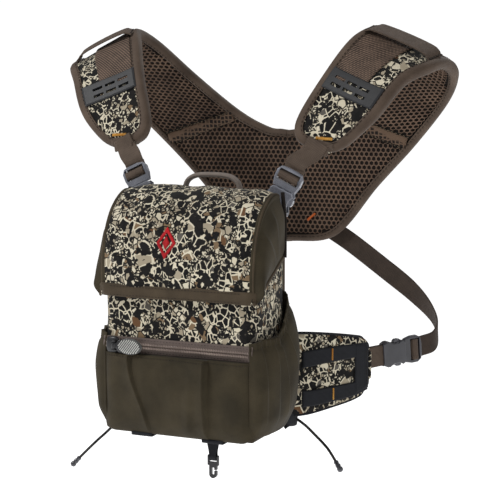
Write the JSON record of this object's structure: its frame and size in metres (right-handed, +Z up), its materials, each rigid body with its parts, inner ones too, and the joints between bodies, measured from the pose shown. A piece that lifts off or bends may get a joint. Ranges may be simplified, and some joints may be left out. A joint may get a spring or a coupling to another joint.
{
  "type": "binocular harness pack",
  "caption": "Chest pack with a forward-opening lid, zipped pocket, side pockets and waist wings, hung from a padded mesh-lined shoulder harness by side-release buckles.",
  "frame": {"origin": "centre of the flat mesh face that rests on the wearer's chest", "axes": "+Z up, +Y towards the wearer's chest, +X to the wearer's left; the lid and zipped pocket face -Y"},
  "size_m": [0.3756, 0.2677, 0.4107],
  "materials": {
    "brown_fabric": "matt stretch knit",
    "camo_fabric": "printed woven, cellular pattern",
    "spacer_mesh": "hexagonal spacer mesh",
    "brown_binding": "folded tape binding",
    "brown_webbing": "ribbed webbing",
    "black_webbing": "woven webbing",
    "black_rubber": "satin moulded",
    "elastic_cord": "braided cover over elastic",
    "magnet_steel": "nickel plated",
    "zipper_coil": "coil",
    "zipper_tape": "woven tape",
    "black_plastic": "moulded",
    "pull_rubber": "ribbed moulded",
    "light_grey_plastic": "glossy moulded acetal",
    "dark_grey_plastic": "satin moulded acetal"
  },
  "bodies": {
    "pack": {"anchor_tabs": "brown_webbing", "back_mesh_pad": "spacer_mesh", "back_panel": "brown_fabric", "body_magnets": "magnet_steel", "bottom_webbing": "black_webbing", "cord_end_left": "black_rubber", "cord_end_right": "black_rubber", "cord_left": "elastic_cord", "cord_right": "elastic_cord", "cord_tabs": "black_webbing", "crest_loops": "brown_webbing", "floor_panel": "brown_fabric", "front_panel": "camo_fabric", "front_pocket": "brown_fabric", "lash_patches": "black_rubber", "loop_feet": "brown_webbing", "mesh_lining": "spacer_mesh", "rear_ledge": "brown_fabric", "shoulder_buckle_left_male": "light_grey_plastic", "shoulder_buckle_right_male": "light_grey_plastic", "shoulder_pad_left": "camo_fabric", "shoulder_pad_right": "camo_fabric", "shoulder_webbing": "brown_webbing", "side_buckle_left_male": "dark_grey_plastic", "side_buckle_right_male": "dark_grey_plastic", "side_panel_left": "camo_fabric", "side_panel_right": "camo_fabric", "side_pocket_left": "brown_fabric", "side_pocket_right": "brown_fabric", "side_strap_left": "brown_webbing", "side_strap_right": "brown_webbing", "wide_webbing": "brown_webbing", "wing_left": "brown_fabric", "wing_right": "brown_fabric", "wing_straps": "brown_webbing", "wing_webbing": "black_webbing", "yoke_pad": "brown_fabric", "zipper_tape": "zipper_tape", "zipper_teeth": "zipper_coil"},
    "lid": {"lid_shell": "camo_fabric", "lid_gussets": "brown_fabric", "lid_lip": "brown_binding", "lid_magnets": "magnet_steel"},
    "zipper_slider": {"zipper_slider": "black_plastic"},
    "zipper_pull": {"zipper_pull": "pull_rubber"},
    "grab_loop": {"grab_loop": "brown_webbing"},
    "tether": {"tether_strap": "black_webbing"},
    "tether_hook": {"tether_hook": "black_plastic"},
    "shoulder_buckle_left_female": {"shoulder_buckle_left_female": "light_grey_plastic"},
    "shoulder_buckle_left_prong_outer": {"shoulder_buckle_left_prong_outer": "light_grey_plastic"},
    "shoulder_buckle_left_prong_inner": {"shoulder_buckle_left_prong_inner": "light_grey_plastic"},
    "shoulder_buckle_right_female": {"shoulder_buckle_right_female": "light_grey_plastic"},
    "shoulder_buckle_right_prong_outer": {"shoulder_buckle_right_prong_outer": "light_grey_plastic"},
    "shoulder_buckle_right_prong_inner": {"shoulder_buckle_right_prong_inner": "light_grey_plastic"},
    "side_buckle_left_female": {"side_buckle_left_female": "dark_grey_plastic"},
    "side_buckle_left_prong_outer": {"side_buckle_left_prong_outer": "dark_grey_plastic"},
    "side_buckle_left_prong_inner": {"side_buckle_left_prong_inner": "dark_grey_plastic"},
    "side_buckle_right_female": {"side_buckle_right_female": "dark_grey_plastic"},
    "side_buckle_right_prong_outer": {"side_buckle_right_prong_outer": "dark_grey_plastic"},
    "side_buckle_right_prong_inner": {"side_buckle_right_prong_inner": "dark_grey_plastic"}
  },
  "joints": [
    {"name": "lid_hinge", "type": "hinge", "parent": "pack", "child": "lid", "pos_m": [0, -0.088, 0.017], "axis": [1, 0, 0], "range_deg": [0, 120]},
    {"name": "zipper_slide", "type": "slide", "parent": "pack", "child": "zipper_slider", "axis": [1, 0, 0], "range_m": [0, 0.11]},
    {"name": "pull_swing", "type": "hinge", "parent": "zipper_slider", "child": "zipper_pull", "pos_m": [-0.057, -0.0943, -0.0255], "axis": [0, 0, -1], "range_deg": [0, 170]},
    {"name": "grab_loop_fold", "type": "hinge", "parent": "pack", "child": "grab_loop", "pos_m": [0, -0.0139, 0.1032], "axis": [1, 0, 0], "range_deg": [-60, 45], "stiffness_Nm_per_rad": 0.01},
    {"name": "tether_swing", "type": "hinge", "parent": "pack", "child": "tether", "pos_m": [0, -0.014, -0.1017], "axis": [1, 0, 0], "range_deg": [-60, 60]},
    {"name": "hook_swing", "type": "hinge", "parent": "tether", "child": "tether_hook", "pos_m": [0, -0.014, -0.138], "axis": [1, 0, 0], "range_deg": [-50, 50]},
    {"name": "shoulder_buckle_left_release", "type": "slide", "parent": "pack", "child": "shoulder_buckle_left_female", "axis": [0.4103, -0.05, -0.9106], "range_m": [0, 0.012]},
    {"name": "shoulder_buckle_left_squeeze", "type": "hinge", "parent": "pack", "child": "shoulder_buckle_left_prong_inner", "pos_m": [-0.07665, -0.0179, 0.10584], "axis": [-0.0206, -0.9987, 0.0456], "range_deg": [0, 6], "stiffness_Nm_per_rad": 0.05},
    {"name": "shoulder_buckle_left_squeeze_far", "type": "hinge", "parent": "pack", "child": "shoulder_buckle_left_prong_outer", "pos_m": [-0.06443, -0.0179, 0.11134], "axis": [0.0206, 0.9987, -0.0456], "range_deg": [0, 6]},
    {"name": "shoulder_buckle_right_release", "type": "slide", "parent": "pack", "child": "shoulder_buckle_right_female", "axis": [-0.4103, -0.05, -0.9106], "range_m": [0, 0.012]},
    {"name": "shoulder_buckle_right_squeeze", "type": "hinge", "parent": "pack", "child": "shoulder_buckle_right_prong_inner", "pos_m": [0.06443, -0.0179, 0.11134], "axis": [0.0206, -0.9987, 0.0456], "range_deg": [0, 6], "stiffness_Nm_per_rad": 0.05},
    {"name": "shoulder_buckle_right_squeeze_far", "type": "hinge", "parent": "pack", "child": "shoulder_buckle_right_prong_outer", "pos_m": [0.07665, -0.0179, 0.10584], "axis": [-0.0206, 0.9987, -0.0456], "range_deg": [0, 6]},
    {"name": "side_buckle_left_release", "type": "slide", "parent": "pack", "child": "side_buckle_left_female", "axis": [0.6173, -0.7824, -0.082], "range_m": [0, 0.012]},
    {"name": "side_buckle_left_squeeze", "type": "hinge", "parent": "pack", "child": "side_buckle_left_prong_inner", "pos_m": [-0.1463, 0.09201, -0.05387], "axis": [-0.7851, -0.6194, 0], "range_deg": [0, 6], "stiffness_Nm_per_rad": 0.05},
    {"name": "side_buckle_left_squeeze_far", "type": "hinge", "parent": "pack", "child": "side_buckle_left_prong_outer", "pos_m": [-0.14562, 0.09115, -0.04051], "axis": [0.7851, 0.6194, 0], "range_deg": [0, 6]},
    {"name": "side_buckle_right_release", "type": "slide", "parent": "pack", "child": "side_buckle_right_female", "axis": [-0.6173, -0.7824, -0.082], "range_m": [0, 0.012]},
    {"name": "side_buckle_right_squeeze", "type": "hinge", "parent": "pack", "child": "side_buckle_right_prong_inner", "pos_m": [0.14562, 0.09115, -0.04051], "axis": [0.7851, -0.6194, 0], "range_deg": [0, 6], "stiffness_Nm_per_rad": 0.05},
    {"name": "side_buckle_right_squeeze_far", "type": "hinge", "parent": "pack", "child": "side_buckle_right_prong_outer", "pos_m": [0.1463, 0.09201, -0.05387], "axis": [-0.7851, 0.6194, 0], "range_deg": [0, 6]}
  ],
  "couplings": [
    {"joint": "shoulder_buckle_left_squeeze_far", "follows": "shoulder_buckle_left_squeeze", "ratio": 1},
    {"joint": "shoulder_buckle_right_squeeze_far", "follows": "shoulder_buckle_right_squeeze", "ratio": 1},
    {"joint": "side_buckle_left_squeeze_far", "follows": "side_buckle_left_squeeze", "ratio": 1},
    {"joint": "side_buckle_right_squeeze_far", "follows": "side_buckle_right_squeeze", "ratio": 1}
  ]
}
